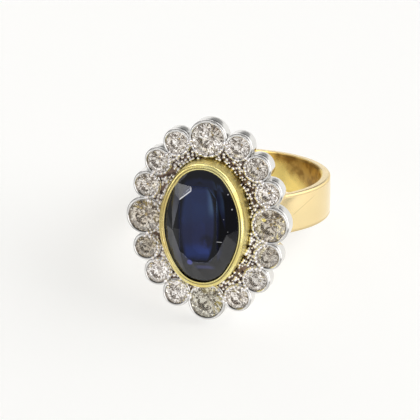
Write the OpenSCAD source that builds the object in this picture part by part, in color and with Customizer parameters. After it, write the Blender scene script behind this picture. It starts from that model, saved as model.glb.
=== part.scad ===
// Oval cluster finger ring: a gold band with an oval gold bezel, a white-metal
// halo of sixteen round collets around it, one oval stone and sixteen round ones.
// Local frame: X across the finger, Y along the finger hole, Z out through the
// centre stone, with the middle of the finger hole at zero. The last step lays
// the ring on its side, on the lower edge of the band and the lowest collet.
// Millimetres.

/* [Band] */
// Diameter of the finger hole
finger_hole_d = 17.5; // [16.5:0.25:19.5]
// Width of the band along the finger
band_width = 4.1; // [3.5:0.1:4.8]
// Thickness of the band
band_thickness = 1.0; // [0.8:0.05:1.3]
// Bevel on the outer edges of the band
band_bevel = 0.22; // [0.1:0.02:0.3]
// Bevel on the inner edges of the band
band_ease = 0.28; // [0.1:0.02:0.34]

/* [Centre stone] */
// Width of the centre stone at its girdle
centre_width = 8.1; // [7.7:0.1:8.6]
// Length of the centre stone at its girdle
centre_length = 12.1; // [11.6:0.1:12.8]
// Height of the crown above the girdle
centre_crown = 1.15; // [0.8:0.05:1.4]
// Wall of the bezel outside the girdle
bezel_wall = 0.45; // [0.35:0.05:0.55]
// Rim of the bezel above the rims of the collets
bezel_rise = 2.05; // [1.7:0.05:2.5]

/* [Halo] */
// Girdle diameter of the four large round stones
large_d = 3.6; // [3.45:0.05:3.75]
// Girdle diameter of the twelve small round stones
small_d = 2.56; // [2.46:0.02:2.66]
// Wall of a collet outside its girdle
collet_wall = 0.2; // [0.15:0.01:0.25]
// Depth of the collets
collet_depth = 1.8; // [1.6:0.05:2.1]
// Rims of the collets above the outside of the band
head_rise = 1.45; // [1.35:0.05:1.8]
// How far the small stones stand out from the line of the large ones
small_out = 0.3; // [0.2:0.02:0.4]
// Radius of a grain on the inner half of a collet rim
grain_r = 0.19; // [0.17:0.01:0.21]

/* [Hidden] */
large_sites = [0, 4, 8, 12];

// air left between a stone or a wall and the metal next to it
gap = 0.03;
hole_r = finger_hole_d / 2;
band_r = hole_r + band_thickness;
half_w = band_width / 2;

// levels along Z
rim_z = band_r + head_rise;
halo_z = rim_z - collet_depth;
plate_z = rim_z - 0.8;
bezel_z = rim_z + bezel_rise;

// oval of the girdle from four arcs that meet on the diagonals of a 3-4-5 triangle:
// r_end round the tips, r_side along the flanks
half_a = centre_width / 2;
half_b = centre_length / 2;
side_x = 2 * (half_b - half_a);
end_y = 1.5 * (half_b - half_a);
r_side = half_a + side_x;
r_end = half_b - end_y;
turn = atan2(3, 4);

// angle of the outward normal at a length along one quarter of the oval, set out by off
function flank(off) = (r_side + off) * turn * PI / 180;
function quarter(off) = flank(off) + (r_end + off) * (90 - turn) * PI / 180;
function oval_angle(s, off) =
    s <= flank(off)
    ? s / (r_side + off) * 180 / PI
    : turn + (s - flank(off)) / (r_end + off) * 180 / PI;
function oval_point(t, off) =
    t <= turn
    ? [(r_side + off) * cos(t) - side_x, (r_side + off) * sin(t)]
    : [(r_end + off) * cos(t), end_y + (r_end + off) * sin(t)];

// sixteen places round an oval: 0 on +X, 4 on +Y, the other quarters by symmetry
function fold(i) = i % 8 <= 4 ? i % 8 : 8 - i % 8;
function fold_x(i) = i > 4 && i < 12 ? -1 : 1;
function fold_y(i) = i > 8 ? -1 : 1;

// round stones: their line clears the bezel wall, and is long enough that
// neighbouring collets run into each other by collet_meet at most
large_r = large_d / 2 + collet_wall;
small_r = small_d / 2 + collet_wall;
collet_meet = 0.25;
total = 2 * large_r + 6 * small_r;
line_off = max(
    bezel_wall + large_r + 0.05,
    (total - 4 * collet_meet - quarter(0)) / (PI / 2)
);
steps = [0, large_r + small_r, large_r + 3 * small_r, large_r + 5 * small_r, total];
function is_large(i) = i % 4 == 0;
function site_turn(i) = oval_angle(steps[fold(i)] / total * quarter(line_off), line_off);
function site_xy(i) =
    let (p = oval_point(site_turn(i), is_large(i) ? line_off : line_off + small_out))
    [fold_x(i) * p[0], fold_y(i) * p[1]];
function site_angle(i) =
    let (t = site_turn(i))
    atan2(fold_y(i) * sin(t), fold_x(i) * cos(t));

// ring at rest: contacts are the lower edge of the band and of the lowest collet
head_y = half_b + line_off + large_r;
lie = atan((head_y - half_w) / (halo_z + band_r - band_bevel));
lift = half_w * cos(lie) + (band_r - band_bevel) * sin(lie);
front_y = max(
    bezel_z * cos(lie) + (half_b + bezel_wall - 0.2) * sin(lie),
    (bezel_z - 0.13) * cos(lie) + (half_b + bezel_wall - 0.06) * sin(lie),
    rim_z * cos(lie) + (head_y - 0.07) * sin(lie)
);
back_y = band_r * cos(lie) + (half_w - band_bevel) * sin(lie);
shift_y = (front_y - back_y) / 2;

module lay() {
    translate([0, shift_y, lift])
        rotate([90 - lie, 0, 0])
            children();
}

// wall that follows the oval; the profile is [distance outside the girdle, height].
// Every stretch lies within one arc, so each face between two profile points is flat
flank_steps = 12;
tip_steps = 16;
quarter_turns = concat(
    [for (k = [0:flank_steps - 1]) turn * k / flank_steps],
    [for (k = [0:tip_steps - 1]) turn + (90 - turn) * k / tip_steps]
);
quarter_steps = len(quarter_turns);
function round_turn(j) =
    let (q = floor(j / quarter_steps), i = j % quarter_steps)
    q % 2 == 0 ? quarter_turns[i] : i == 0 ? 90 : quarter_turns[quarter_steps - i];
function round_point(j, off) =
    let (q = floor(j / quarter_steps), p = oval_point(round_turn(j), off))
    [(q == 1 || q == 2 ? -1 : 1) * p[0], (q >= 2 ? -1 : 1) * p[1]];

module oval_ring(profile) {
    rows = 4 * quarter_steps;
    cols = len(profile);
    points = [
        for (j = [0:rows - 1])
            for (p = profile)
                let (xy = round_point(j, p[0]))
                [xy[0], xy[1], p[1]]
    ];
    faces = [
        for (j = [0:rows - 1])
            for (i = [0:cols - 1])
                let (a = j * cols, b = (j + 1) % rows * cols, n = (i + 1) % cols)
                [a + i, a + n, b + n, b + i]
    ];
    polyhedron(points = points, faces = faces, convexity = 6);
}

// gold band, open underneath the head for the finger only
module band() {
    rotate([90, 0, 0])
        rotate_extrude($fn = 240)
            polygon([
                [hole_r, -half_w + band_ease],
                [hole_r + band_ease, -half_w],
                [band_r - band_bevel, -half_w],
                [band_r, -half_w + band_bevel],
                [band_r, half_w - band_bevel],
                [band_r - band_bevel, half_w],
                [hole_r + band_ease, half_w],
                [hole_r, half_w - band_ease]
            ]);
}

// centre bezel: rounded wall, lip over the crown, sloping seat under the girdle
// and a flange at its foot that carries the halo
girdle_t = 0.16;
girdle_top = bezel_z - 0.32;
girdle_low = girdle_top - girdle_t;
lip = 0.15;
seat = 0.45;
foot_z = halo_z - gap;
pavilion = girdle_low - band_r - 0.12;
centre_table = 0.6;
crown_slope = 1.06 * centre_crown * star_height(centre_table) / ((1 - star_radius(centre_table)) * half_a);
module bezel() {
    oval_ring([
        [bezel_wall + 0.4, foot_z - 0.4],
        [bezel_wall + 0.4, foot_z],
        [bezel_wall, foot_z],
        [bezel_wall, bezel_z - 0.3],
        [bezel_wall - 0.06, bezel_z - 0.13],
        [bezel_wall - 0.2, bezel_z],
        [0.02, bezel_z],
        [-lip, bezel_z - 0.08],
        [-lip, girdle_top + lip * crown_slope + gap],
        [gap, girdle_top + gap],
        [gap, girdle_low - gap],
        [-seat, girdle_low - gap - 1.1 * (seat + gap) * pavilion / half_a],
        [-seat, foot_z - 0.4]
    ]);
}

// two pads between the band and the flange
module pads() {
    difference() {
        for (k = [-1, 1])
            translate([k * (half_a + 0.1) - 0.45, -half_w + 0.4, hole_r / 2])
                cube([0.9, 2 * half_w - 0.8, foot_z - 0.2 - hole_r / 2]);
        rotate([90, 0, 0])
            cylinder(r = hole_r + band_thickness / 2, h = 4 * half_w, center = true, $fn = 240);
    }
}

module band_and_bezel() {
    lay()
        color([0.87, 0.68, 0.33])
            union() {
                band();
                bezel();
                pads();
            }
}

// one collet blank, and the hole its stone drops into
module collet(r) {
    rotate_extrude($fn = 72)
        polygon([
            [0, halo_z],
            [r, halo_z],
            [r, rim_z - 0.1],
            [r - 0.07, rim_z],
            [0, rim_z]
        ]);
}

rim_lip = 0.06;
set_z = rim_z - 0.24;
round_girdle = 0.06;
module stone_hole(r) {
    depth = round_depth(r);
    back = 0.7 * r;
    rotate_extrude($fn = 72)
        polygon([
            [0, halo_z - 1],
            [back, halo_z - 1],
            [back, set_z - round_girdle - 0.06 - 0.34 * depth],
            [r + gap, set_z - round_girdle - gap],
            [r + gap, set_z + 0.09],
            [r - rim_lip, set_z + 0.12],
            [r - rim_lip, rim_z + 1],
            [0, rim_z + 1]
        ]);
}

module halo_setting() {
    lay()
        color([0.82, 0.82, 0.84])
            difference() {
                union() {
                    oval_ring([
                        [bezel_wall + gap, halo_z],
                        [line_off, halo_z],
                        [line_off, plate_z],
                        [bezel_wall + gap, plate_z]
                    ]);
                    for (i = [0:15]) {
                        r = is_large(i) ? large_r : small_r;
                        translate(site_xy(i))
                            collet(r);
                    }
                    grains();
                }
                for (i = [0:15])
                    translate(site_xy(i))
                        stone_hole((is_large(i) ? large_d : small_d) / 2);
                oval_ring([
                    [-seat, halo_z - 1],
                    [bezel_wall + gap, halo_z - 1],
                    [bezel_wall + gap, rim_z + 1],
                    [-seat, rim_z + 1]
                ]);
            }
}

// grains stand on the inner half of each rim
module grains() {
    for (i = [0:15]) {
        r = is_large(i) ? large_r : small_r;
        span = is_large(i) ? 60 : 54;
        count = is_large(i) ? 5 : 4;
        for (k = [0:count - 1]) {
            t = site_angle(i) + 180 - span + k * 2 * span / (count - 1);
            translate(site_xy(i) + (r - 0.02) * [cos(t), sin(t)])
                translate([0, 0, plate_z - 0.2])
                    cylinder(r1 = grain_r, r2 = grain_r, h = rim_z - plate_z + 0.2 + 0.05, $fn = 20);
        }
    }
}

// cut stone with an eightfold brilliant pattern on a round or an oval girdle
function round_depth(r) = 0.8 * r;
function star_radius(table) = (1 + table) / 2 * 1.02;
function star_height(table) = (1 - star_radius(table) * cos(22.5)) / (1 - table);
function round_rim(r) = [for (k = [0:15]) [r * cos(22.5 * k), r * sin(22.5 * k)]];
function oval_rim() = [
    for (k = [0:15])
        let (p = oval_point(oval_angle(fold(k) / 4 * quarter(0), 0), 0))
        [fold_x(k) * p[0], fold_y(k) * p[1]]
];
module cut_stone(rim, crown, table, girdle, depth, culet) {
    star = star_radius(table);
    drop = 0.26;
    low_z = depth * (1 - drop * cos(22.5)) / (1 - culet);
    even = [for (k = [0:2:14]) k];
    odd = [for (k = [1:2:15]) k];
    every = [for (k = [0:15]) k];
    function ring(q, z, ks) = [for (k = ks) [q * rim[k][0], q * rim[k][1], z]];
    pts = concat(
        ring(table, crown, even),
        ring(star, crown * star_height(table), odd),
        ring(1, 0, every),
        ring(1, -girdle, every),
        ring(drop, -girdle - low_z, odd),
        ring(culet, -girdle - depth, even)
    );
    tb = 0;
    st = 8;
    gt = 16;
    gb = 32;
    dr = 48;
    cu = 56;
    faces = concat(
        [[for (k = [7:-1:0]) tb + k]],
        [for (k = [0:7]) [tb + k, tb + (k + 1) % 8, st + k]],
        [for (k = [0:7]) [tb + k, st + k, gt + 2 * k]],
        [for (k = [0:7]) [tb + k, gt + 2 * k, st + (k + 7) % 8]],
        [for (k = [0:7]) [st + k, gt + 2 * k + 1, gt + 2 * k]],
        [for (k = [0:7]) [st + k, gt + (2 * k + 2) % 16, gt + 2 * k + 1]],
        [for (k = [0:15]) [gt + k, gt + (k + 1) % 16, gb + k]],
        [for (k = [0:15]) [gt + (k + 1) % 16, gb + (k + 1) % 16, gb + k]],
        [for (k = [0:7]) [gb + 2 * k, gb + 2 * k + 1, dr + k]],
        [for (k = [0:7]) [gb + 2 * k + 1, gb + (2 * k + 2) % 16, dr + k]],
        [for (k = [0:7]) [gb + 2 * k, dr + k, cu + k]],
        [for (k = [0:7]) [gb + 2 * k, cu + k, dr + (k + 7) % 8]],
        [for (k = [0:7]) [dr + k, cu + (k + 1) % 8, cu + k]],
        [[for (k = [0:7]) cu + k]]
    );
    polyhedron(points = pts, faces = faces, convexity = 4);
}

module sapphire() {
    lay()
        color([0.08, 0.12, 0.4])
            translate([0, 0, girdle_top])
                cut_stone(oval_rim(), centre_crown, centre_table, girdle_t, pavilion, 0.04);
}

module diamond(i) {
    r = (is_large(i) ? large_d : small_d) / 2;
    p = site_xy(i);
    lay()
        color([0.93, 0.95, 0.97])
            translate([p[0], p[1], set_z])
                rotate([0, 0, site_angle(i)])
                    cut_stone(round_rim(r), 0.3 * r, 0.55, round_girdle, round_depth(r), 0.08);
}

band_and_bezel();
halo_setting();
sapphire();
for (i = [0:15])
    diamond(i);
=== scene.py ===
import math

import bmesh
import bpy
import numpy as np
from mathutils import Matrix


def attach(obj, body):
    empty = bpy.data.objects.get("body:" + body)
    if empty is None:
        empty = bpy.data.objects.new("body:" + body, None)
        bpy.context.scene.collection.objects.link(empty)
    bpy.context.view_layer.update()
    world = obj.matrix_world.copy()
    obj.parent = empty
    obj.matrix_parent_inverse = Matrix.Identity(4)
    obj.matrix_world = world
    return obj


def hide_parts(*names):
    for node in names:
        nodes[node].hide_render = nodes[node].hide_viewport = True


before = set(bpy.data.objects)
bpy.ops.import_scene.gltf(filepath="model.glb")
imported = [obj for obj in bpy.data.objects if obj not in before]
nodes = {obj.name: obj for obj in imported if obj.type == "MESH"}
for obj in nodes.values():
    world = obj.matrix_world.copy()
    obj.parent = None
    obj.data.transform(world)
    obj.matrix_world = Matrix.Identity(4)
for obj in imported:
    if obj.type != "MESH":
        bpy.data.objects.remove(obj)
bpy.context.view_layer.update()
print("frame loaded:", len(nodes), "CAD nodes")

# camera, fitted to the photograph's view: its place in metres and three unit vectors
view = {
    "place": (0.125757, -0.363983, 0.321808),
    "right": (0.9631995, 0.2475968, -0.1046065),
    "up": (-0.0807855, 0.6378568, 0.7659063),
    "back": (0.2563600, -0.7292699, 0.6343856),
    "lens": 415.1,                    # millimetres, as is the sensor
    "sensor": 36.0,
    "clip": (0.01, 20),
}


def makeCamera(v):
    # the camera's matrix: right, up, back and place are its columns
    data = bpy.data.cameras.new("camera")
    data.lens = v["lens"]
    data.sensor_width = v["sensor"]
    data.clip_start, data.clip_end = v["clip"]
    camera = bpy.data.objects.new("camera", data)
    bpy.context.scene.collection.objects.link(camera)
    turn = np.eye(4)
    turn[:3] = np.transpose([v["right"], v["up"], v["back"], v["place"]])
    camera.matrix_world = Matrix(turn.tolist())
    bpy.context.scene.camera = camera


makeCamera(view)

# sizes that the pieces share, in millimetres. A point is given as u across the finger, w along it
# and n out through the centre stone, from the middle of the finger hole
ring = {
    "lie": math.radians(24.181163),   # the hole's axis leans this far from upright
    "shiftY": 2.511954,               # the hole's middle lies this far back and this far up
    "lift": 5.773831,
    "holeRadius": 8.75,
    "bandThickness": 1.0,
    "bandWidth": 4.1,
    "halfA": 4.05,                    # girdle of the centre stone
    "halfB": 6.05,
    "bezelWall": 0.45,
    "bezelZ": 13.25,                  # top of the bezel
    "girdleZ": 12.93,
    "rimZ": 11.2,                     # rims of the collets
    "setZ": 10.96,                    # girdles of the diamonds
    "plateZ": 10.4,                   # floor between bezel and collets
    "haloZ": 9.4,                     # backs of the collets
}
sinLie, cosLie = math.sin(ring["lie"]), math.cos(ring["lie"])


def toFrame(u, w, n):
    # x = u; y and z are w and n turned by the lean; in metres
    u, w, n = np.broadcast_arrays(u, w, n)
    y = ring["shiftY"] + w * sinLie - n * cosLie
    z = ring["lift"] + w * cosLie + n * sinLie
    return 0.001 * np.stack([u, y, z], -1)


def meshObject(name, points, faces, smooth=True):
    # an object made of points in metres, its faces turned outward
    mesh = bpy.data.meshes.new(name)
    mesh.from_pydata(points.reshape(-1, 3).tolist(), [], faces)
    mesh.polygons.foreach_set("use_smooth", [smooth] * len(mesh.polygons))
    work = bmesh.new()
    work.from_mesh(mesh)
    bmesh.ops.recalc_face_normals(work, faces=work.faces)
    work.to_mesh(mesh)
    work.free()
    mesh.update()
    thing = bpy.data.objects.new(name, mesh)
    bpy.context.scene.collection.objects.link(thing)
    return thing


def mark(thing, name, values):
    # one number at every point, which a material reads by its name
    kept = thing.data.attributes.new(name, "FLOAT", "POINT")
    kept.data.foreach_set("value", np.asarray(values, float).ravel())


def gridFaces(rows, cols, start=0):
    # quads of a grid that closes both ways: rows along the path, cols round the profile
    i, j = np.meshgrid(np.arange(rows), np.arange(cols), indexing="ij")
    i2, j2 = (i + 1) % rows, (j + 1) % cols
    quads = np.stack([i * cols + j, i2 * cols + j, i2 * cols + j2, i * cols + j2], -1)
    return (quads.reshape(-1, 4) + start).tolist()


def rounded(points, cuts, steps=6, fill=3):
    # a closed profile whose corners are replaced by quadratic curves between the two points that
    # lie one cut away from the corner, with a few points along each straight stretch
    here = np.array(points, float)
    cuts = np.array(cuts)[:, None]
    toNext = np.roll(here, -1, 0) - here
    toNext /= np.linalg.norm(toNext, axis=1)[:, None]
    start, end = here - np.roll(toNext, 1, 0) * cuts, here + toNext * cuts
    t = np.linspace(0, 1, steps)[:, None, None]
    curve = (1 - t) ** 2 * start + 2 * t * (1 - t) * here + t ** 2 * end
    s = np.linspace(0, 1, fill + 2)[1:-1, None, None]
    stretch = end + (np.roll(start, -1, 0) - end) * s
    return np.concatenate([curve, stretch]).transpose(1, 0, 2).reshape(-1, 2)


# the oval of the girdle: four arcs that meet on the diagonals of a 3-4-5 triangle
sideX = 2 * (ring["halfB"] - ring["halfA"])
endY = 1.5 * (ring["halfB"] - ring["halfA"])
sideR, endR = ring["halfA"] + sideX, ring["halfB"] - endY
ovalTurn = math.atan2(3, 4)


def quarterLength(off):
    # a quarter of the oval set out by off: each arc's radius times its turn
    return (sideR + off) * ovalTurn + (endR + off) * (math.pi / 2 - ovalTurn)


def ovalAngle(length, off):
    # angle of the outward normal at a length along one quarter, set out by off
    flank = (sideR + off) * ovalTurn
    pastTurn = ovalTurn + (length - flank) / (endR + off)
    return np.where(length <= flank, length / (sideR + off), pastTurn)


def ovalAt(angle, off):
    # a point of the first quarter: on the side's arc up to the meeting angle, then on the end's
    side = angle <= ovalTurn
    x = np.where(side, (sideR + off) * np.cos(angle) - sideX, (endR + off) * np.cos(angle))
    y = np.where(side, (sideR + off) * np.sin(angle), endY + (endR + off) * np.sin(angle))
    return x, y


def ovalPath(count):
    # points evenly spaced along the whole girdle, and their outward normals
    quarter = quarterLength(0)
    length = np.arange(count) * 4 * quarter / count
    part = np.minimum((length // quarter).astype(int), 3)
    rest = length - part * quarter
    angle = ovalAngle(np.where(part % 2 == 1, quarter - rest, rest), 0)
    x, y = ovalAt(angle, 0)
    signs = np.stack([np.where((part == 1) | (part == 2), -1, 1), np.where(part >= 2, -1, 1)], -1)
    return signs * np.stack([x, y], -1), signs * np.stack([np.cos(angle), np.sin(angle)], -1)


def roundTheOval(name, section, count):
    # a section of distances outside the girdle and heights, carried round the oval
    base, normal = ovalPath(count)
    u = base[:, :1] + normal[:, :1] * section[:, 0]
    w = base[:, 1:] + normal[:, 1:] * section[:, 0]
    return meshObject(name, toFrame(u, w, section[:, 1]), gridFaces(count, len(section)))


# gold band
band = {
    "around": 320,
    "outerCut": 0.36,     # where the rounding of the outer and inner edges starts
    "innerCut": 0.3,
    "crown": 0.04,        # the outside bulges by this much
    "curve": 9,           # points on each rounded corner, and on each side between two
    "side": 5,
}


def makeBand(b):
    # a rounded section turned round the axis of the finger hole
    r0, h = ring["holeRadius"], ring["bandWidth"] / 2
    r1 = r0 + ring["bandThickness"]
    cuts = [b["innerCut"], b["outerCut"], b["outerCut"], b["innerCut"]]
    section = rounded([(r0, -h), (r1, -h), (r1, h), (r0, h)], cuts, b["curve"], b["side"])
    outer = section[:, 0] > r1 - 0.01
    section[outer, 0] -= b["crown"] * (section[outer, 1] / h) ** 2
    a = np.linspace(0, 2 * np.pi, b["around"], endpoint=False)[:, None]
    points = toFrame(section[:, 0] * np.sin(a), section[:, 1], section[:, 0] * np.cos(a))
    return meshObject("goldBand", points, gridFaces(b["around"], len(section)))


goldBand = makeBand(band)

# gold bezel of the centre stone
bezel = {
    "around": 400,
    "flange": 0.4,        # how far the flange stands out, and its depth
    "flangeDepth": 0.4,
    "shoulder": 0.36,     # rounding of the ridge's outside
    "ridge": 0.08,        # the ridge's inner edge, outside the girdle
    "step": 0.03,
    "lip": 0.15,          # how far the lip reaches over the stone, and the seat under it
    "seat": 0.45,
}


def makeBezel(b):
    # distance outside the girdle and height of each corner, with the cut that rounds it
    top, foot, wall = ring["bezelZ"], ring["haloZ"] - 0.03, ring["bezelWall"]
    base = foot - b["flangeDepth"]
    corners = [
        (wall + b["flange"], base, 0.06),        # flange
        (wall + b["flange"], foot, 0.06),
        (wall, foot, 0.02),                      # wall
        (wall, top - 0.02, b["shoulder"]),       # ridge
        (b["ridge"], top - 0.005, 0.05),
        (b["step"], top - 0.07, 0.03),           # step
        (-b["lip"] + 0.02, top - 0.05, 0.03),    # lip
        (-b["lip"], top - 0.17, 0.04),
        (0.0, top - 0.29, 0.02),                 # beside the girdle
        (0.0, top - 0.6, 0.02),
        (-b["seat"], top - 0.95, 0.05),          # seat
        (-b["seat"], base, 0.06),
    ]
    section = rounded([c[:2] for c in corners], [c[2] for c in corners], 8, 3)
    thing = roundTheOval("goldBezel", section, b["around"])
    # painted shade: dark in the step between ridge and lip, and under the lip
    step = np.exp(-((section[:, 0] - b["step"]) / 0.045) ** 2) * (section[:, 1] > top - 0.2)
    under = (section[:, 1] < top - 0.14) * (section[:, 0] < 0.05)
    mark(thing, "shadeMark", np.tile(np.maximum(step, under), b["around"]))
    # distance along the profile, for streaks that run round the oval
    steps = np.linalg.norm(np.diff(section, axis=0, prepend=section[:1]), axis=1)
    mark(thing, "across", np.tile(np.cumsum(steps), b["around"]))
    return thing


goldBezel = makeBezel(bezel)
pads = {"width": 0.9, "length": 2.9, "out": 0.1, "sink": 0.2, "bevel": 0.08}


def makePads(p):
    # two blocks that join the band to the flange of the bezel
    corner = np.array([[i, j, k] for i in (-1, 1) for j in (-1, 1) for k in (0, 1)])
    sides = np.array([(0, 1, 3, 2), (4, 6, 7, 5), (0, 4, 5, 1),
                      (2, 3, 7, 6), (0, 2, 6, 4), (1, 5, 7, 3)])
    points, faces = [], []
    for side in (-1, 1):
        u = side * (ring["halfA"] + p["out"]) + corner[:, 0] * p["width"] / 2
        low = np.sqrt((ring["holeRadius"] + ring["bandThickness"] / 2) ** 2 - u ** 2)
        n = np.where(corner[:, 2] == 0, low, ring["haloZ"] - p["sink"])
        faces += (sides + 8 * len(points)).tolist()
        points.append(toFrame(u, corner[:, 1] * p["length"] / 2, n))
    thing = meshObject("goldPads", np.concatenate(points), faces, smooth=False)
    bevel = thing.modifiers.new("bevel", "BEVEL")
    bevel.width, bevel.segments = p["bevel"] / 1000, 3
    return thing


goldPads = makePads(pads)
print("gold made")

# sixteen places of the halo: even steps round an oval, the small stones a little further out
halo = {
    "largeStone": 1.8,    # radius
    "smallStone": 1.28,
    "colletWall": 0.2,
    "meet": 0.25,         # overlap of neighbours
    "smallOut": 0.3,
    "clear": 0.05,        # least room between bezel and collets
}
largeR = halo["largeStone"] + halo["colletWall"]
smallR = halo["smallStone"] + halo["colletWall"]
lineTotal = 2 * largeR + 6 * smallR
lineOff = max(
    ring["bezelWall"] + largeR + halo["clear"],
    (lineTotal - 4 * halo["meet"] - quarterLength(0)) / (math.pi / 2),
)


def makeSites():
    # lengths along a quarter go by the collets' sizes, and the quarter is mirrored into four
    steps = np.array([0, largeR + smallR, largeR + 3 * smallR, largeR + 5 * smallR, lineTotal])
    i = np.arange(16)
    fold = np.where(i % 8 <= 4, i % 8, 8 - i % 8)
    angle = ovalAngle(steps[fold] / lineTotal * quarterLength(lineOff), lineOff)
    large = i % 4 == 0
    x, y = ovalAt(angle, lineOff + np.where(large, 0, halo["smallOut"]))
    signX = np.where((i > 4) & (i < 12), -1, 1)
    signY = np.where(i > 8, -1, 1)
    outward = np.arctan2(signY * np.sin(angle), signX * np.cos(angle))
    return np.stack([signX * x, signY * y], -1), outward, np.where(large, largeR, smallR)


places, outward, radii = makeSites()

# white-metal collets
collet = {
    "around": 112,
    "groove": 0.26,       # depth of the groove's middle under the rim
    "ring": 0.11,         # how far the rim stands inside the collet's wall
    "lip": 0.18,          # how far the rim reaches over the stone
    "open": 0.7,          # radius of the open back, as a share of the stone's
}


def colletSection(r):
    # wall, groove under the rim, rounded rim with its lip over the stone, pocket, seat, open back
    stone = r - halo["colletWall"]
    top, foot, girdle, c = ring["rimZ"], ring["haloZ"], ring["setZ"], collet
    corners = [
        (r, foot, 0.05),
        (r, top - c["groove"] - 0.06, 0.05),
        (r - c["ring"] - 0.03, top - c["groove"], 0.02),
        (r - c["ring"], top - c["groove"] + 0.06, 0.02),
        (r - c["ring"] + 0.02, top - 0.02, 0.05),
        (stone - c["lip"] + 0.15, top, 0.03),
        (stone - c["lip"], top - 0.12, 0.02),
        (stone + 0.02, girdle + 0.06, 0.01),
        (stone + 0.02, girdle - 0.09, 0.02),
        (c["open"] * stone, girdle - 0.13 - 0.27 * stone, 0.05),
        (c["open"] * stone, foot, 0.05),
    ]
    return rounded([k[:2] for k in corners], [k[2] for k in corners], 5, 2)


def makeCollets(c):
    # turned collets; where two meet, each is cut off flat halfway between their rims
    points, faces, dark, lit, start = [], [], [], [], 0
    a = np.linspace(0, 2 * np.pi, c["around"], endpoint=False)[:, None]
    for k in range(16):
        section = colletSection(radii[k])
        stone = radii[k] - halo["colletWall"]
        x, y = section[:, 0] * np.cos(a), section[:, 0] * np.sin(a)
        # painted shade: dark in the groove, under the lip at the lower left, and where two collets
        # meet
        groove = np.exp(-((section[:, 1] - ring["rimZ"] + c["groove"] - 0.02) / 0.05) ** 2)
        under = (section[:, 0] < stone - c["lip"] + 0.12) * (section[:, 1] > ring["setZ"] + 0.06)
        side = 0.3 + 0.7 * np.maximum(np.cos(a - 1.2 * math.pi), 0)
        shade = np.maximum(groove * (section[:, 0] > stone), under * side)
        # the open back lets light in behind the stone and round its girdle
        back = (section[:, 0] < stone + 0.03) * (section[:, 1] < ring["setZ"] + 0.05)
        lit.append(np.tile(back, c["around"]))
        for other in ((k + 1) % 16, (k - 1) % 16):
            line = places[other] - places[k]
            apart = np.linalg.norm(line)
            line = line / apart
            reach = (apart ** 2 + radii[k] ** 2 - radii[other] ** 2) / (2 * apart)
            over = np.maximum(x * line[0] + y * line[1] - reach, 0)
            x, y = x - over * line[0], y - over * line[1]
            below = section[:, 1] < ring["rimZ"] - 0.05
            shade = np.maximum(shade, np.minimum(over / 0.1, 1) * below)
        points.append(toFrame(x + places[k, 0], y + places[k, 1], section[:, 1]).reshape(-1, 3))
        faces += gridFaces(c["around"], len(section), start)
        start += c["around"] * len(section)
        dark.append(shade.ravel())
    thing = meshObject("haloCollets", np.concatenate(points), faces)
    mark(thing, "shadeMark", np.concatenate(dark))
    mark(thing, "back", np.concatenate(lit))
    return thing


haloCollets = makeCollets(collet)
plate = {"around": 480, "inset": 0.3, "steps": 9, "gap": 0.03, "lift": 0.02}


def makePlate(p):
    # floor of the halo between bezel and collets; its outer edge runs inside the collets' walls
    base, normal = ovalPath(p["around"])
    side = np.stack([-normal[:, 1], normal[:, 0]], -1)
    edge = np.full(p["around"], lineOff)
    for k in range(16):
        to = places[k] - base
        along, across = (to * normal).sum(1), (to * side).sum(1)
        reach = radii[k] - p["inset"]
        hit = (np.abs(across) < reach) & (along > 0)
        cut = along - np.sqrt(np.maximum(reach ** 2 - across ** 2, 0))
        edge = np.where(hit, np.minimum(edge, cut), edge)
    t = np.linspace(0, 1, p["steps"])
    t = np.concatenate([t, t[::-1]])
    n = np.repeat([ring["plateZ"], ring["haloZ"] + p["lift"]], p["steps"])
    inner = ring["bezelWall"] + p["gap"]
    off = inner + (edge[:, None] - inner) * t
    u = base[:, :1] + normal[:, :1] * off
    w = base[:, 1:] + normal[:, 1:] * off
    return meshObject("haloPlate", toFrame(u, w, n), gridFaces(p["around"], len(t)))


haloPlate = makePlate(plate)

# beads: along the inner half of each rim, and in rows on the floor up to the bezel
bead = {
    "rim": 0.21,          # radius on the rims, and on the floor
    "floor": 0.19,
    "over": 0.24,         # the rims' beads stand this far inside the collet's outside
    "top": 0.18,          # and this much above the rim
    "large": 12,          # beads on a large rim, and on a small one
    "small": 9,
    "spread": math.radians(78),
    "sink": 0.1,          # the floor's beads end this much below the rims
    "pitch": 0.37,
    "rowOne": 0.18,
    "rowStep": 0.87,      # space between rows, as a share of the pitch
    "rows": 5,
    "kept": 0.93,         # share of the floor's places that hold a bead
    "free": 0.08,         # least space between a collet's outside and a bead's middle
    "sides": 8,
    "seed": 7,
}


def beadShape(b):
    # a half ball on a straight stem, as unit radius and height; the stem's foot has height -1
    t = np.linspace(0, np.pi / 2, 4)
    r = np.concatenate([np.sin(t[1:]), [0.9]])
    z = np.concatenate([np.cos(t[1:]), [-1.0]])
    a = np.linspace(0, 2 * np.pi, b["sides"], endpoint=False)
    r, z = r[:, None], z[:, None]
    wall = np.stack([r * np.cos(a), r * np.sin(a), z + 0 * a], -1).reshape(-1, 3)
    points = np.concatenate([wall, [[0, 0, 1], [0, 0, -1]]])
    i, j = np.meshgrid(np.arange(len(r) - 1), np.arange(b["sides"]), indexing="ij")
    i, j = i.ravel() * b["sides"], j.ravel()
    j2 = (j + 1) % b["sides"]
    quads = np.stack([i + j, i + b["sides"] + j, i + b["sides"] + j2, i + j2], -1)
    j = np.arange(b["sides"])
    j2 = (j + 1) % b["sides"]
    last = (len(r) - 1) * b["sides"]
    tip, foot = 0 * j + len(wall), 0 * j + len(wall) + 1
    caps = [np.stack([tip, j, j2], -1), np.stack([foot, last + j2, last + j], -1)]
    return points, quads, np.concatenate(caps)


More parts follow.
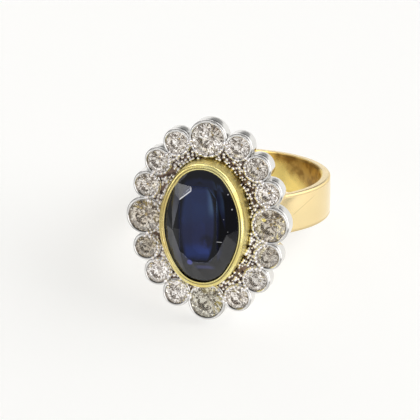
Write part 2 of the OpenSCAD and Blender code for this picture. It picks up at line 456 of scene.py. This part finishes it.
def beadPlaces(b):
    # place, height of the top and radius of every bead, each with a little scatter
    rng = np.random.default_rng(b["seed"])
    out = []
    for k in range(16):
        count = b["large"] if k % 4 == 0 else b["small"]
        fan = np.linspace(-b["spread"], b["spread"], count)
        a = outward[k] + math.pi + fan + rng.normal(0, 0.06, count)
        r = radii[k] - b["over"] + rng.normal(0, 0.03, count)
        n = ring["rimZ"] + b["top"] + rng.normal(0, 0.03, count)
        size = b["rim"] * (1 + rng.normal(0, 0.2, count))
        u, w = places[k, 0] + r * np.cos(a), places[k, 1] + r * np.sin(a)
        out.append(np.stack([u, w, n, size], -1))
    for row in range(b["rows"]):
        off = ring["bezelWall"] + b["rowOne"] + row * b["pitch"] * b["rowStep"]
        count = int(4 * quarterLength(off) / b["pitch"])
        base, normal = ovalPath(count * 2)
        base, normal = base[row % 2::2], normal[row % 2::2]
        at = base + normal * (off + rng.uniform(-0.02, 0.09, (count, 1)))
        at += rng.normal(0, 0.05, (count, 2))
        far = np.linalg.norm(at[:, None] - places[None], axis=2) - radii
        n = ring["rimZ"] - b["sink"] + rng.normal(0, 0.1, count)
        size = b["floor"] * (1 + rng.normal(0, 0.24, count))
        kept = (far.min(1) > b["free"]) & (off < lineOff + 0.2) & (rng.random(count) < b["kept"])
        out.append(np.column_stack([at, n, size])[kept])
    return np.concatenate(out)


def makeBeads(b):
    # the one shape, grown to each bead's radius; every stem goes down into the plate
    points, quads, caps = beadShape(b)
    spots = beadPlaces(b)
    step = len(points) * np.arange(len(spots))[:, None, None]
    u = spots[:, :1] + points[:, 0] * spots[:, 3:]
    w = spots[:, 1:2] + points[:, 1] * spots[:, 3:]
    foot = ring["plateZ"] - 0.05
    dome = spots[:, 2:3] + (points[:, 2] - 1) * spots[:, 3:]
    n = np.where(points[:, 2] < 0, foot, dome)
    faces = (quads + step).reshape(-1, 4).tolist() + (caps + step).reshape(-1, 3).tolist()
    print("beads:", len(spots))
    return meshObject("haloBeads", toFrame(u, w, n), faces)


haloBeads = makeBeads(bead)
print("halo made")

# round stones: an old brilliant cut, with the crown, depth and girdle of the CAD stones
cut = {
    "table": 0.5,         # radii and heights are shares of the girdle's radius
    "crown": 0.3,
    "depth": 0.8,
    "girdle": 0.06,       # millimetres
    "star": 0.72,
    "halves": 0.3,
    "culet": 0.1,
    "turn": 0.4,          # how much each stone is turned and leaned, and its corners moved
    "tilt": 0.035,
    "uneven": 0.02,
    "seed": 21,
    # how brown each stone is, anticlockwise from the right
    "tones": (0.85, 0.0, 0.4, 0.0, 0.1, 0.2, 0.0, 0.25, 0.8, 1.0, 0.0, 0.0, 0.8, 0.45, 0.0, 0.75),
}


def brilliantRings(r, c, rng):
    # radius, height and angle of each ring of corners; the kites and the mains are flat facets
    half = math.pi / 8
    crown, depth, table = c["crown"] * r, c["depth"] * r, c["table"]
    starZ = crown * (1 - (c["star"] * math.cos(half) - table) / (1 - table))
    slope = depth / (1 - c["culet"] * math.cos(half))
    halvesZ = -(1 - c["halves"] * math.cos(half)) * slope
    even, odd, every = np.arange(0, 16, 2), np.arange(1, 16, 2), np.arange(16)
    rings = [
        (table, crown, even),
        (c["star"], starZ, odd),
        (1.0, 0.0, every),
        (1.0, -c["girdle"], every),
        (c["halves"], halvesZ - c["girdle"], odd),
        (c["culet"], -depth - c["girdle"], odd),
    ]
    points = []
    for share, z, ks in rings:
        wobble = rng.normal(0, c["uneven"] if share < 1 else 0, (2, len(ks)))
        a = ks * half + wobble[0]
        q = share * r * (1 + wobble[1])
        points.append(np.stack([q * np.cos(a), q * np.sin(a), 0 * a + z], -1))
    return np.concatenate(points)


def brilliantFaces():
    # faces by number; each name is where its ring of corners starts
    table, star, top, low, halves, culet = 0, 8, 16, 32, 48, 56
    faces = [list(range(table, table + 8)), list(range(culet, culet + 8))]
    for k in range(8):
        # the next and the previous eighth, and three corners of the girdle
        n, p = (k + 1) % 8, (k + 7) % 8
        g, gm, gn = 2 * k, 2 * k + 1, (2 * k + 2) % 16
        faces += [
            [table + k, table + n, star + k],
            [table + k, star + k, top + g, star + p],
            [star + k, top + gm, top + g],
            [star + k, top + gn, top + gm],
            [top + g, top + gm, low + gm, low + g],
            [top + gm, top + gn, low + gn, low + gm],
            [halves + k, low + g, low + gm],
            [halves + k, low + gm, low + gn],
            [low + g, halves + k, culet + k, culet + p, halves + p],
        ]
    return faces


def makeDiamonds(c):
    # each stone is turned and leaned at random; the lean fades to nothing at the girdle
    rng = np.random.default_rng(c["seed"])
    faces = brilliantFaces()
    stones = []
    for k in range(16):
        r = radii[k] - halo["colletWall"]
        points = brilliantRings(r, c, rng)
        turn = outward[k] + rng.uniform(-c["turn"], c["turn"])
        lean = rng.normal(0, c["tilt"], 2)
        x = points[:, 0] * math.cos(turn) - points[:, 1] * math.sin(turn)
        y = points[:, 0] * math.sin(turn) + points[:, 1] * math.cos(turn)
        inside = 1 - np.minimum(np.hypot(x, y) / r, 1)
        z = points[:, 2] + (x * lean[0] + y * lean[1]) * inside
        at = toFrame(x + places[k, 0], y + places[k, 1], z + ring["setZ"])
        stone = meshObject("diamondStone" + str(k + 1), at, faces, smooth=False)
        mark(stone, "tone", np.full(len(at), c["tones"][k]))
        stones.append(stone)
    return stones


diamondStones = makeDiamonds(cut)

# centre stone: a long table, a brilliant crown and a stepped pavilion with a keel
gem = {
    "crown": 1.15,                               # height of the table above the girdle
    "girdle": 0.16,
    # u and w of the table's corners and of the stars' outer corners, anticlockwise; the stone is
    # cut by hand, so no two sides are quite alike
    "table": ((1.9, -2.45), (1.8, 3.2), (0.95, 4.35), (-0.85, 4.35),
              (-2.05, 2.9), (-2.0, -2.5), (-0.75, -3.5), (0.9, -3.5)),
    "star": ((2.8, -0.5), (1.8, 4.1), (0.0, 4.9), (-2.3, 4.5),
             (-2.85, -0.4), (-1.75, -3.95), (0.0, -4.6), (1.85, -3.85)),
    "starSlope": (17, 15, 17, 15, 17, 15, 15, 15),
    "corners": (26, 73),                         # degrees where the kites reach the girdle
    "stepOne": ((2.75, 3.0), (1.3, 4.5)),        # two corners of one quarter of each step
    "stepTwo": ((1.25, 2.5), (0.6, 3.2)),
    "depths": (1.15, 2.3, 2.88),                 # of the two steps and the keel
    "keel": 1.7,                                 # half its length
}


def eightCorners(quarter, z):
    # two corners mirrored into the other three quarters, anticlockwise from the lower right
    (a, b), (c, d) = quarter
    x = np.array([a, a, c, -c, -a, -a, -c, c])
    y = np.array([-b, b, d, d, b, -b, -d, -d])
    return np.stack([x, y, 0 * x + z], -1)


def starPoints(g):
    # outer corners of the star facets, each lower than its table edge by the star's slope
    corners, tips = np.array(g["table"]), np.array(g["star"])
    edge = np.roll(corners, -1, 0) - corners
    edge /= np.linalg.norm(edge, axis=1)[:, None]
    to = tips - corners
    out = np.abs(to[:, 0] * edge[:, 1] - to[:, 1] * edge[:, 0])
    drop = out * np.tan(np.radians(g["starSlope"]))
    return np.column_stack([tips, ring["girdleZ"] + g["crown"] - drop])


def girdlePoints(g, z):
    # 32 points: in each quarter seven lie between the two axes
    first, second = g["corners"]
    quarter = np.interp(np.arange(8), [0, 2, 4, 6, 8], [0, first, (first + second) / 2, second, 90])
    turn = np.radians(np.concatenate([quarter, 180 - np.append(quarter[1:], 90)[::-1]]))
    turn = np.concatenate([turn, turn + math.pi])
    fold = np.arctan2(np.abs(np.sin(turn)), np.abs(np.cos(turn)))
    x, y = ovalAt(fold, 0)
    return np.stack([np.sign(np.cos(turn)) * x, np.sign(np.sin(turn)) * y, 0 * x + z], -1)


def makeSapphire(g):
    # table, stars, kites and halves above the girdle; two steps and a keel, hidden, below it
    top = ring["girdleZ"]
    low = top - g["girdle"]
    keel = [(0, -g["keel"], low - g["depths"][2]), (0, g["keel"], low - g["depths"][2])]
    p = np.concatenate([
        np.column_stack([g["table"], np.full(8, top + g["crown"])]),
        starPoints(g),
        girdlePoints(g, top),
        girdlePoints(g, low),
        eightCorners(g["stepOne"], low - g["depths"][0]),
        eightCorners(g["stepTwo"], low - g["depths"][1]),
        keel,
    ])
    table, star, upper, lower, one, two, k0, k1 = 0, 8, 16, 48, 80, 88, 96, 97
    faces, hidden = [list(range(8))], [0]
    for i in range(8):
        n, p0 = (i + 1) % 8, (i - 1) % 8
        # girdle points at this star's middle, and on to the next star's
        g0 = (4 * i) % 32
        h = [(g0 + k) % 32 for k in range(-2, 3)]
        faces += [[table + i, table + n, star + i], [table + i, star + i, upper + h[0], star + p0]]
        faces += [[star + i, upper + h[k + 1], upper + h[k]] for k in range(4)]
        faces += [[upper + h[k], upper + h[k + 1], lower + h[k + 1], lower + h[k]] for k in range(4)]
        faces += [[one + i, lower + h[k], lower + h[k + 1]] for k in (0, 1)]
        faces += [[one + i, lower + h[2], one + n]]
        faces += [[one + n, lower + h[k], lower + h[k + 1]] for k in (2, 3)]
        faces += [[one + i, two + i, two + n, one + n]]
        hidden += [0] * 10 + [1] * 6
    faces += [[two, k0, k1, two + 1], [two + 4, k1, k0, two + 5]]
    faces += [[two + i, k1, two + i + 1] for i in (1, 2, 3)]
    faces += [[two + i, k0, two + (i + 1) % 8] for i in (5, 6, 7)]
    hidden += [1] * 8
    thing = meshObject("sapphireStone", toFrame(p[:, 0], p[:, 1], p[:, 2]), faces, smooth=False)
    thing.data.polygons.foreach_set("material_index", hidden)
    return thing


sapphireStone = makeSapphire(gem)
print("stones made")


class Wire:
    # a node's output that can be used in sums
    def __init__(self, tree, socket):
        self.tree, self.socket = tree, socket

    def reckon(self, operation, *values):
        # one maths node, fed with the values in order
        node = self.tree.nodes.new("ShaderNodeMath")
        node.operation = operation
        for slot, value in zip(node.inputs, values):
            setSocket(self.tree, slot, value)
        return Wire(self.tree, node.outputs[0])

    def __add__(self, other):
        return self.reckon("ADD", self, other)

    def __sub__(self, other):
        return self.reckon("SUBTRACT", self, other)

    def __rsub__(self, other):
        return self.reckon("SUBTRACT", other, self)

    def __mul__(self, other):
        return self.reckon("MULTIPLY", self, other)

    def __truediv__(self, other):
        return self.reckon("DIVIDE", self, other)

    def __rtruediv__(self, other):
        return self.reckon("DIVIDE", other, self)

    def __pow__(self, other):
        return self.reckon("POWER", self, other)

    def __abs__(self):
        return self.reckon("ABSOLUTE", self)

    def larger(self, other):
        return self.reckon("MAXIMUM", self, other)

    __radd__ = __add__
    __rmul__ = __mul__


def setSocket(tree, slot, value):
    # a wire is linked to the socket; anything else becomes its value
    if isinstance(value, Wire):
        tree.links.new(value.socket, slot)
    else:
        slot.default_value = value


class Nodes:
    # a node tree, with one method for every kind of node
    def __init__(self, tree):
        self.tree = tree

    def add(self, kind, settings=None, sockets=None):
        node = self.tree.nodes.new("ShaderNode" + kind)
        for key, value in (settings or {}).items():
            setattr(node, key, value)
        for key, value in (sockets or {}).items():
            setSocket(self.tree, node.inputs[key], value)
        return {o.name: Wire(self.tree, o) for o in node.outputs if o.enabled}

    def mix(self, share, first, second):
        # the first colour where the share is 0, the second where it is 1
        return self.add("Mix", {"data_type": "RGBA"}, {0: share, 6: first, 7: second})["Result"]

    def smooth(self, value, low, high, start=0.0, end=1.0):
        # start where the value is low, end where it is high, an S-curve between them
        sockets = {0: value, 1: low, 2: high, 3: start, 4: end}
        return self.add("MapRange", {"interpolation_type": "SMOOTHSTEP"}, sockets)["Result"]

    def within(self, value, near, far, strength=1.0):
        # the strength up to near, nothing past far
        return self.smooth(value, near, far, strength, 0.0)

    def noise(self, at, scale, detail=2.0):
        return self.add("TexNoise", None, {"Vector": at, "Scale": scale, "Detail": detail})["Fac"]

    def marked(self, name):
        # the number that mark wrote at each point
        return self.add("Attribute", {"attribute_name": name})["Fac"]

    def axes(self, vector):
        parts = self.add("SeparateXYZ", None, {0: vector})
        return parts["X"], parts["Y"], parts["Z"]


class Finish(Nodes):
    # one material
    def __init__(self, name, colour):
        self.material = bpy.data.materials.new(name)
        self.material.use_nodes = True
        self.material.diffuse_color = colour
        super().__init__(self.material.node_tree)
        self.tree.nodes.clear()
        self.bsdf = self.tree.nodes.new("ShaderNodeBsdfPrincipled")
        out = self.tree.nodes.new("ShaderNodeOutputMaterial")
        self.tree.links.new(self.bsdf.outputs[0], out.inputs["Surface"])
        self.at = self.add("TexCoord")["Object"]

    def put(self, **inputs):
        # values or wires for the main shader, a socket's spaces written as underscores
        for key, value in inputs.items():
            setSocket(self.tree, self.bsdf.inputs[key.replace("_", " ")], value)

    def glow(self, share, colour, under=(0, 0, 0, 1)):
        # light given off: the colour where the share is 1, what lies under it where it is 0
        self.put(Emission_Color=self.mix(share, under, colour), Emission_Strength=1.0)

    def bump(self, height, strength, depth):
        sockets = {"Strength": strength, "Distance": depth, "Height": height}
        self.put(Normal=self.add("Bump", None, sockets)["Normal"])

    def ringAxes(self):
        # u, w and n in millimetres, from the object's own coordinates
        x, y, z = self.axes(self.at)
        y, z = y * 1000 - ring["shiftY"], z * 1000 - ring["lift"]
        return x * 1000, y * sinLie + z * cosLie, z * sinLie - y * cosLie


# scales of noise are per metre, places and widths on the ring are millimetres
bezelLook = {
    "light": (1.0, 0.93, 0.44, 1),
    "deep": (0.96, 0.80, 0.28, 1),
    "rubbed": (1.0, 0.95, 0.62, 1),
    "streaks": (0.62, 0.47, 0.13, 1),
    "left": (0.62, 0.46, 0.2, 1),
    "paintedShade": (0.22, 0.13, 0.04, 1),
    "thrown": (0.17, 0.14, 0.05, 1),
    "rough": 0.2,
    "flankRough": 0.32,
    "scales": (300, 2600, 2100),       # of clouds, grain and rubbed spots
    "streakWidths": (9, 0.3),          # across the profile, and along the oval
    "bump": (0.35, 0.00002),
}


def bezelFinish(t):
    # greenish gold with streaks that run round the oval, rubbed bright in spots
    f = Finish("bezelGold", t["light"])
    clouds, grain, rubs = t["scales"]
    cloud = f.smooth(f.noise(f.at, clouds, 3.0), 0.35, 0.65)
    fine = f.noise(f.at, grain)
    spots = f.smooth(f.noise(f.at, rubs, 3.0), 0.6, 0.7)
    u, w, n = f.ringAxes()
    across, along = t["streakWidths"]
    sockets = {0: f.marked("across") * across, 1: u * along, 2: w * along}
    stretched = f.add("CombineXYZ", None, sockets)["Vector"]
    streak = f.smooth(f.noise(stretched, 1.0, 3.0), 0.35, 0.65)
    bright = f.mix(spots, f.mix(cloud, t["light"], t["deep"]), t["rubbed"])
    bright = f.mix(streak * 0.45, bright, t["streaks"])
    # the left side tinted darker: painted shade
    bright = f.mix(f.smooth(u, -1.5, -4.0, 0.0, 0.5), bright, t["left"])
    # painted shade in the step beside the lip and under the lip, most of all on the right
    paintedShade = f.marked("shadeMark") * f.smooth(u + w * 0.4, -2.5, 1.5, 0.35, 0.9)
    f.put(Base_Color=f.mix(paintedShade, bright, t["paintedShade"]), Metallic=1.0)
    # light thrown back from the beads on to the flank
    thrown = f.smooth(n, 11.7, 12.7) * f.smooth(n, 13.05, 12.75) * (1 - streak * 0.6)
    f.glow(thrown, t["thrown"])
    rough = f.smooth(n, 12.7, 13.0, t["flankRough"], t["rough"])
    f.put(Roughness=rough + cloud * 0.1 + fine * 0.06 - spots * 0.1)
    f.bump(fine * 0.5 + streak, *t["bump"])
    return f.material


bandLook = {
    "light": (0.93, 0.76, 0.42, 1),
    "deep": (0.88, 0.69, 0.36, 1),
    "hole": (0.92, 0.70, 0.22, 1),
    "rim": (0.70, 0.55, 0.28, 1),
    "scratch": (0.55, 0.38, 0.1, 1),
    "tarnish": ((0.46, 0.29, 0.08, 1), (0.24, 0.13, 0.03, 1)),
    "thrown": (0.13, 0.1, 0.06, 1),
    "scales": (300, 600, 1000, 2600),  # of clouds, blots, specks and grain
    "rough": 0.12,
    "bump": (0.15, 0.00001),
}


def bandFinish(t):
    # pale outside; inside the finger hole a deeper tone, a painted shade, with amber tarnish along
    # the upper edge
    f = Finish("bandGold", t["light"])
    clouds, blotches, speckles, grain = t["scales"]
    u, w, n = f.ringAxes()
    inside = f.within((u * u + n * n) ** 0.5, 8.85, 9.05)
    cloud = f.noise(f.at, clouds, 3.0)
    blots = f.noise(f.at, blotches, 3.0)
    specks = f.smooth(f.noise(f.at, speckles, 4.0), 0.4, 0.62)
    fine = f.noise(f.at, grain)
    stain = f.smooth(w + abs(u) * 0.7 + blots * 1.6, 2.9, 4.5) * f.smooth(n, -3.0, -4.5)
    stain = stain * inside * 0.95
    # one long scratch that climbs to the right, and edges worn rough and tinted darker as painted
    # shade
    scratch = f.within(abs(w - u * 0.92 + 7.21), 0.02, 0.07, 0.35)
    scratch = scratch * f.within(abs(u - 8.4), 0.6, 0.9)
    rim = f.smooth(abs(w), 1.66, 1.86) * f.smooth(abs(w), 2.05, 1.98)
    plain = f.mix(cloud, t["light"], t["deep"])
    plain = f.mix(scratch * (1 - inside), plain, t["scratch"])
    plain = f.mix(rim, plain, t["rim"])
    shadedBand = f.mix(inside, plain, t["hole"])
    f.put(Base_Color=f.mix(stain, shadedBand, f.mix(specks, *t["tarnish"])), Metallic=1.0)
    # light thrown back from the collets on to the shoulders
    f.glow(f.smooth(n, 1.5, 6.0) * f.smooth(w, -0.5, 1.5) * (1 - inside), t["thrown"])
    f.put(Roughness=t["rough"] + cloud * 0.08 + fine * 0.05 + stain * 0.12 + rim * 0.34)
    f.bump(fine, *t["bump"])
    return f.material


# light tone, deep tone and roughness of each white piece, and what they share
whiteLook = {
    "collet": ((0.86, 0.85, 0.83, 1), (0.68, 0.67, 0.65, 1), 0.05),
    "bead": ((0.96, 0.94, 0.94, 1), (0.84, 0.80, 0.79, 1), 0.24),
    # the plate far darker than the other white metal: painted shade between the beads and collets
    "plate": ((0.36, 0.26, 0.21, 1), (0.12, 0.08, 0.065, 1), 0.3),
    "paintedShade": (0.1, 0.08, 0.065, 1),
    "back": (0.17, 0.15, 0.13, 1),     # light from the open backs, seen through the stones
    "scale": 500,
}


def whiteFinish(kind, t):
    # clouded metal with painted shade where it is marked
    light, deep, rough = t[kind]
    f = Finish(kind + "Metal", light)
    cloud = f.noise(f.at, t["scale"], 3.0)
    f.put(Base_Color=f.mix(f.marked("shadeMark") * 0.9, f.mix(cloud, light, deep), t["paintedShade"]))
    f.put(Metallic=1.0, Roughness=rough + cloud * 0.12)
    f.glow(f.marked("back"), t["back"])
    return f.material


crownLook = {
    "clear": ((0.72, 0.8, 0.98, 1), (0.62, 0.72, 0.95, 1)),
    "facets": (0.06, 0.07, 0.11, 1),
    "royal": (0.045, 0.05, 0.22, 1),
    "reflection": (0.74, 0.74, 0.75, 1),
    # u, w and radius of each painted glint spot
    "glintSpots": ((2.78, 3.59, 0.08), (3.19, 2.04, 0.09), (2.5, 1.1, 0.04), (2.9, -0.2, 0.04)),
    "glints": (0.7, 0.14, 0.4, 0.4),   # strength of the painted highlights: edge, lit sliver, spots and line
    "paintedSheen": (0.01, 0.016),             # at the top, and at the left
}


def crownFinish(t):
    # the polished outside of the sapphire: the depths show through the table, and the facets
    # round it are tinted nearly black, a painted shade
    f = Finish("sapphireBlue", (0.03, 0.04, 0.12, 1))
    u, w, n = f.ringAxes()
    clear = f.mix(f.noise(f.at, 400), *t["clear"])
    f.put(Base_Color=f.mix(f.smooth(n, 14.06, 14.075), t["facets"], clear))
    # a painted highlight along the edge beside the upper left star, on its two facets, with a
    # painted lit sliver beyond
    beyond = (u + 0.85) * 0.77 - (w - 4.35) * 0.638
    long = (u + 0.87) * 0.643 - (w - 3.89) * 0.766
    litSliver = f.smooth(beyond, -0.03, 0.0) * f.smooth(long, 0.02, -0.02) * f.smooth(u, -0.84, -0.88)
    edge = f.within(abs(long), 0.02, 0.07) * f.smooth(w, 2.85, 2.95) * f.smooth(u, -0.78, -0.84)
    short = f.within(abs(u + 0.86), 0.02, 0.06)
    short = short * f.smooth(w, 3.85, 3.9) * f.smooth(w, 4.35, 4.15)
    edge = (edge * f.smooth(w, 3.9, 3.85)).larger(short * 0.8)
    # painted glints: small spots and a fine line on the right
    glintSpots = 0
    for a, b, size in t["glintSpots"]:
        glintSpots = f.within((u - a) ** 2 + (w - b) ** 2, 0.2 * size ** 2, size ** 2) + glintSpots
    line = f.within(abs(w + 1.24 + (u - 2.1) * 0.1), 0.015, 0.045) * f.within(abs(u - 2.1), 0.2, 0.3)
    top = f.smooth(n, 12.95, 13.0)
    parts = zip((edge, litSliver, glintSpots, line), t["glints"])
    glint = sum(part * strength for part, strength in parts) * top
    # a faint painted sheen on the facets at the top and the left
    atTop, atLeft = t["paintedSheen"]
    paintedSheen = f.smooth(w, 3.0, 4.5) * atTop + f.smooth(u, -1.8, -2.6) * atLeft
    paintedSheen = paintedSheen * f.smooth(n, 14.075, 14.06) * top
    # royal blue flashes low in the crown
    flash = f.within((u + 0.97) ** 2 + (w + 3.6) ** 2, 0.03, 0.12)
    bar = f.within(abs(w + 4.02 + (u - 0.5) ** 2 * 0.06), 0.05, 0.3, 0.3)
    bar = bar * f.within(abs(u - 0.55), 0.5, 1.2)
    white = f.mix(glint + paintedSheen, (0, 0, 0, 1), (1, 1, 1, 1))
    f.glow((flash + bar) * top, t["royal"], white)
    f.put(IOR=1.77, Roughness=0.0, Transmission_Weight=1.0, Specular_Tint=t["reflection"])
    return f.material


depthLook = {
    "mirror": ((0.012, 0.018, 0.06, 1), (0.005, 0.008, 0.03, 1)),
    "dark": (0.0022, 0.0026, 0.0030, 1),
    "low": (0.012, 0.018, 0.052, 1),
    "high": (0.016, 0.036, 0.095, 1),
    "violet": (0.020, 0.018, 0.05, 1),
    "steel": (0.06, 0.10, 0.17, 1),
    "royal": (0.014, 0.026, 0.10, 1),
    "shade": (0.008, 0.008, 0.016, 1),
}


def depthFinish(t):
    # facets under the girdle, seen through the crown: dark, with a painted glow of blue light as a
    # window along the stone
    f = Finish("sapphireDepths", (0.01, 0.02, 0.08, 1))
    u, w, n = f.ringAxes()
    cloud = f.noise(f.at, 260, 3.0)
    bulge = w * w * 0.04
    window = f.smooth(u - bulge, -2.5, -2.05) * f.smooth(u + bulge, 1.15, 0.85)
    window = window * f.smooth(w, 4.2, 3.4) * f.smooth(w, -4.0, -3.2)
    blue = f.mix(f.smooth(w, -1.0, 1.6), t["low"], t["high"])
    blue = f.mix(cloud, blue, t["violet"])
    blue = f.mix(f.smooth(u, 0.1, 0.8) * f.smooth(w, 0.4, 1.8), blue, t["steel"])
    blue = f.mix(f.smooth(w, -1.9, -2.9), blue, t["royal"])
    blue = f.mix(f.within((u - 0.2) ** 2 + (w + 1.9) ** 2, 0.1, 0.8, 0.8), blue, t["shade"])
    f.put(Base_Color=f.mix(cloud, *t["mirror"]), Metallic=1.0, Roughness=0.05)
    f.glow(window, blue, t["dark"])
    return f.material


diamondLook = {
    "clear": ((0.93, 0.92, 0.90, 1), (0.85, 0.81, 0.78, 1)),
    "brown": (0.38, 0.37, 0.28, 1),    # of the stones at the sides, and at the two ends
    "endBrown": (0.40, 0.35, 0.27, 1),
    "spots": (0.42, 0.36, 0.29, 1),
    # grey of the painted dark reflections
    "patches": (0.33, 0.31, 0.27, 1),
    "gold": (0.6, 0.5, 0.09, 1),
    "scales": (700, 900, 620),         # of clouds, spots and patches
}


def diamondFinish(t):
    # clear with warm spots, mixed towards brown by each stone's tone, and patched with grey painted
    # reflections
    f = Finish("diamondClear", (0.95, 0.95, 0.95, 1))
    clouds, specks, facets = t["scales"]
    u, w, n = f.ringAxes()
    spots = f.smooth(f.noise(f.at, specks, 2.0), 0.54, 0.64, 0.0, 0.8)
    clear = f.mix(spots, f.mix(f.noise(f.at, clouds), *t["clear"]), t["spots"])
    brown = f.mix(f.within(abs(u), 1.8, 2.2, 0.8), t["endBrown"], t["brown"])
    toned = f.mix(f.marked("tone"), clear, brown)
    # grey patches the size of a few facets, in every stone: painted dark reflections
    darkReflection = f.smooth(f.noise(f.at, facets, 1.0), 0.46, 0.58, 0.0, 0.66)
    f.put(Base_Color=f.mix(darkReflection, toned, t["patches"]))
    # one facet of the right stone mirrors gold
    gold = f.within((u - 6.05) ** 2 + (w - 0.69) ** 2 * 2.4, 0.03, 0.09)
    f.glow(gold * f.smooth(n, 10.98, 11.0), t["gold"])
    f.put(IOR=2.1, Roughness=0.0, Transmission_Weight=1.0)
    return f.material


def dress(thing, finishes):
    # the faces keep their material numbers while the materials are added
    kept = np.zeros(len(thing.data.polygons), int)
    thing.data.polygons.foreach_get("material_index", kept)
    for finish in finishes:
        thing.data.materials.append(finish)
    thing.data.polygons.foreach_set("material_index", kept)
    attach(thing, "root")


bezelGold = bezelFinish(bezelLook)
dress(goldBand, [bandFinish(bandLook)])
dress(goldBezel, [bezelGold])
dress(goldPads, [bezelGold])
dress(haloCollets, [whiteFinish("collet", whiteLook)])
dress(haloPlate, [whiteFinish("plate", whiteLook)])
dress(haloBeads, [whiteFinish("bead", whiteLook)])
dress(sapphireStone, [crownFinish(crownLook), depthFinish(depthLook)])
diamondClear = diamondFinish(diamondLook)
for k, stone in enumerate(diamondStones):
    dress(stone, [diamondClear])
    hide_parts("diamond_" + str(k + 1))
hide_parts("band_and_bezel")
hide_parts("halo_setting")
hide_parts("sapphire")
print("finishes made")

# studio: a white light table, a dark room in front, soft light from behind and above
studio = {
    "floorSize": 1.6,
    "floorColour": (0.32, 0.32, 0.32, 1),
    "floorGlow": 0.705,
    "glowColour": (1, 0.992, 0.965, 1),
    # an oval of light on the floor, longer towards the back: its middle, the share of its depth,
    # where it starts and ends to fade, and what is left outside
    "pool": (0.05, 0.6, 0.064, 0.084, 0.3),
    "room": 0.12,
    # each light: direction, cosines where it starts and where it is full, strength
    "lobes": (
        ((0.66, 0.6, 0.45), 0.8, 0.93, 3.0),
        ((-0.35, 0.62, 0.7), 0.8, 0.95, 2.5),
        ((-0.64, -0.67, 0.37), 0.983, 0.99, 2.4),
        ((-0.26, -0.96, 0.12), 0.86, 1.0, 0.15),
    ),
    "metalFill": (                     # in front and at the right, met only by satin metal
        ((-0.2, -0.9, 0.35), 0.3, 0.9, 0.6),
        ((0.75, -0.62, 0.2), 0.75, 0.95, 1.8),
    ),
    "shadowLight": ((0.85, 0.12, 0.45), 0.85, 0.95, 6.5),   # met only by the floor
    "stoneFill": (0.08, 1.45),         # met by light that has passed a stone: least, and more
    "patches": (2.4, 0.47, 0.58),      # scale, start and end of the fill's patches
    "patchTint": (1.0, 0.86, 0.76, 1),
    "bounces": 24,                     # light is followed through many reflections in the stones
}


def makeFloor(s):
    # the paper's colour and glow fade together towards the edge of the pool of light
    half = s["floorSize"] / 2
    corners = np.array([(-half, -half, 0), (half, -half, 0), (half, half, 0), (-half, half, 0)])
    floor = meshObject("studioFloor", corners, [[0, 1, 2, 3]], smooth=False)
    f = Finish("floorPaper", s["floorColour"])
    x, y, z = f.axes(f.at)
    middle, share, start, end, left = s["pool"]
    reach = (x * x + ((y - middle) * share) ** 2) ** 0.5
    pool = f.smooth(reach, start, end, 1.0, left)
    f.put(Base_Color=f.mix(pool, (0, 0, 0, 1), s["floorColour"]))
    f.put(Roughness=0.7, Specular_IOR_Level=0.1)
    f.glow(pool * s["floorGlow"], s["glowColour"])
    floor.data.materials.append(f.material)


def makeRoom(s):
    # the world's light is the dark room and the sum of its lights, each met by its own rays
    world = bpy.data.worlds.new("studioWorld")
    bpy.context.scene.world = world
    world.use_nodes = True
    w = Nodes(world.node_tree)
    at = w.add("TexCoord")["Generated"]
    x, y, z = w.axes(at)

    def lobe(direction, start, full, strength):
        # grows with the cosine between the ray and the light's direction
        d = np.array(direction) / np.linalg.norm(direction)
        return w.smooth(x * d[0] + y * d[1] + z * d[2], start, full, 0.0, strength)

    path = w.add("LightPath")
    satin = path["Is Glossy Ray"] * (1 - path["Is Singular Ray"])
    diffuse, through = path["Is Diffuse Ray"], path["Is Transmission Ray"]
    light = s["room"]
    for settings in s["lobes"]:
        light = light + lobe(*settings) * (1 - diffuse)
    for settings in s["metalFill"]:
        light = light + lobe(*settings) * satin
    light = light + lobe(*s["shadowLight"]) * diffuse
    scale, start, end = s["patches"]
    patches = w.smooth(w.noise(at, scale, 1.0), start, end)
    least, more = s["stoneFill"]
    light = light + through * (least + patches * more)
    tint = w.mix(through * (1 - patches), (1, 1, 1, 1), s["patchTint"])
    back = world.node_tree.nodes["Background"]
    setSocket(world.node_tree, back.inputs["Color"], tint)
    setSocket(world.node_tree, back.inputs["Strength"], light)


makeFloor(studio)
makeRoom(studio)

look = bpy.context.scene
look.view_settings.view_transform = "Standard"
look.view_settings.look = "None"
look.cycles.use_denoising = True
look.cycles.max_bounces = studio["bounces"]
look.cycles.glossy_bounces = studio["bounces"]
look.cycles.transmission_bounces = studio["bounces"]
print("studio made")
